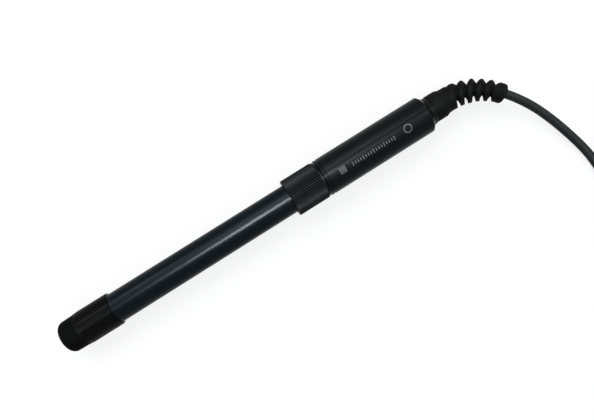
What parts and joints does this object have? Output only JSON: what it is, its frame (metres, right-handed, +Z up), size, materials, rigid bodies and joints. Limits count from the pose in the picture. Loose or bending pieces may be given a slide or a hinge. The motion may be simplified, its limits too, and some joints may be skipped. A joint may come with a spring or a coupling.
{
  "type": "redox electrode",
  "caption": "Black redox sensor with storage cap, long round shaft, knurled nut, plug-in head, bend relief and a cable ending in a round plug.",
  "frame": {"origin": "on the floor plane, under the middle of the electrode between the cap's tip and the rear bushing", "axes": "+X along the electrode towards the cable, +Z up; the electrode lies on its side"},
  "size_m": [0.3714, 0.1461, 0.021],
  "materials": {
    "shaft_plastic": "semi-gloss black moulded plastic",
    "head_plastic": "semi-gloss black moulded plastic",
    "nut_plastic": "knurled black moulded plastic",
    "cap_plastic": "matt black soft plastic",
    "bushing_plastic": "satin black plastic",
    "relief_rubber": "matt black moulded rubber",
    "cable_jacket": "satin black jacket",
    "grip_plastic": "matt black overmoulding",
    "lock_metal": "nickel-plated",
    "plug_plastic": "dark grey plastic",
    "junction_ceramic": "porous white ceramic",
    "stem_glass": "clear glass",
    "platinum": "polished platinum",
    "silver": "drawn silver wire",
    "silver_chloride": "dull grey-violet",
    "gel": "set electrolyte gel",
    "seal_rubber": "black rubber",
    "clip_steel": "spring steel",
    "contact_metal": "gold-plated brass",
    "board": "green laminate",
    "chip_plastic": "black moulded packages",
    "core_insulation": "pale insulation",
    "tie_fabric": "black hook-and-loop strap"
  },
  "bodies": {
    "head": {"head_housing": "head_plastic", "socket_insert": "plug_plastic", "socket_contacts": "contact_metal", "circuit_board": "board", "board_chips": "chip_plastic", "rear_bushing": "bushing_plastic", "rear_seal_ring": "seal_rubber", "clamp_ferrule": "contact_metal", "cable_grommet": "seal_rubber", "cable_tail": "cable_jacket", "conductors": "core_insulation", "bend_relief": "relief_rubber", "cable_run": "cable_jacket", "cable_coil": "cable_jacket", "coil_tie": "tie_fabric", "cable_lead": "cable_jacket", "plug_grip": "grip_plastic", "plug_insert": "plug_plastic", "plug_pins": "contact_metal"},
    "cartridge": {"electrode_shaft": "shaft_plastic", "tip_plug": "plug_plastic", "ceramic_junction": "junction_ceramic", "glass_stem": "stem_glass", "platinum_disc": "platinum", "platinum_lead": "platinum", "silver_wire": "silver", "silver_chloride_pellet": "silver_chloride", "electrolyte_gel": "gel", "rear_stopper": "seal_rubber", "contact_carrier": "plug_plastic", "contact_pins": "contact_metal", "nose_seal_ring": "seal_rubber", "spigot_seal_ring": "seal_rubber"},
    "nut": {"coupling_nut": "nut_plastic", "retaining_clip": "clip_steel"},
    "cap": {"storage_cap": "cap_plastic"},
    "lock_ring": {"plug_lock_ring": "lock_metal"}
  },
  "joints": [
    {"name": "cartridge_draw", "type": "slide", "parent": "head", "child": "cartridge", "axis": [-1, 0, 0], "range_m": [0, 0.012]},
    {"name": "nut_spin", "type": "hinge", "parent": "cartridge", "child": "nut", "pos_m": [0.0331, 0, 0.0105], "axis": [-1, 0, 0], "range_deg": [0, 2160]},
    {"name": "cap_slide", "type": "slide", "parent": "cartridge", "child": "cap", "axis": [-1, 0, 0], "range_m": [0, 0.06]},
    {"name": "lock_spin", "type": "hinge", "parent": "head", "child": "lock_ring", "pos_m": [0.2423, -0.03166, 0.00725], "axis": [-0.2419, 0.9703, 0], "continuous": true}
  ],
  "couplings": [
    {"joint": "nut_spin", "follows": "cartridge_draw", "rad_per_m": 3141.6}
  ]
}
